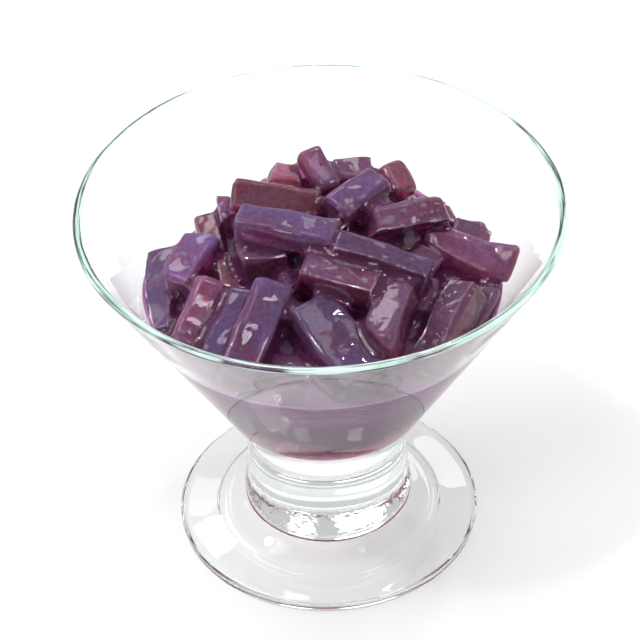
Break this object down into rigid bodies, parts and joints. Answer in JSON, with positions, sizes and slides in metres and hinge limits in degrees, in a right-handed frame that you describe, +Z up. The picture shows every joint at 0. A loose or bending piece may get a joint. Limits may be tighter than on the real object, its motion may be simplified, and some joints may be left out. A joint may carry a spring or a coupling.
{
  "type": "jelly strips in a footed dessert glass",
  "caption": "Dark fruit jelly cut into strips and heaped in syrup in a clear conical glass with a short stem and a wide round foot.",
  "frame": {"origin": "on the axis of the glass, in the plane its foot rests on", "axes": "+Z up along the axis of the glass; -Y towards the side of the heap that faces the viewer"},
  "size_m": [0.12, 0.12, 0.1016],
  "materials": {
    "glass": "clear polished",
    "bed": "wet gloss",
    "violet": "wet gloss",
    "plum": "wet gloss",
    "wine": "wet gloss"
  },
  "bodies": {
    "root": {"glass": "glass", "bed": "bed", "strip_knob": "plum", "strip_tip": "violet", "strip_blush": "wine", "strip_rear_ledge": "wine", "strip_long": "violet", "strip_shelf": "plum", "strip_cross": "violet", "strip_jut": "plum", "strip_middle": "plum", "strip_shade": "plum", "strip_violet": "violet", "strip_slim": "violet", "strip_ridge": "plum", "strip_blade": "violet", "strip_plump": "plum", "strip_right_front": "plum", "strip_right_wall": "plum", "strip_block": "violet", "strip_pale": "wine", "strip_dusk": "plum", "strip_step": "wine", "strip_tuck": "plum", "strip_inner": "plum", "strip_low_front": "plum", "strip_gap": "plum", "strip_fold_a": "plum", "strip_fold_b": "wine", "strip_fold_c": "wine", "strip_wall_left": "violet", "strip_rear_a": "plum", "strip_rear_b": "wine", "strip_rear_c": "violet", "strip_rear_d": "plum", "strip_rear_e": "wine", "strip_rear_f": "plum", "strip_nest": "plum", "strip_under": "plum", "strip_pocket": "plum"}
  },
  "joints": []
}
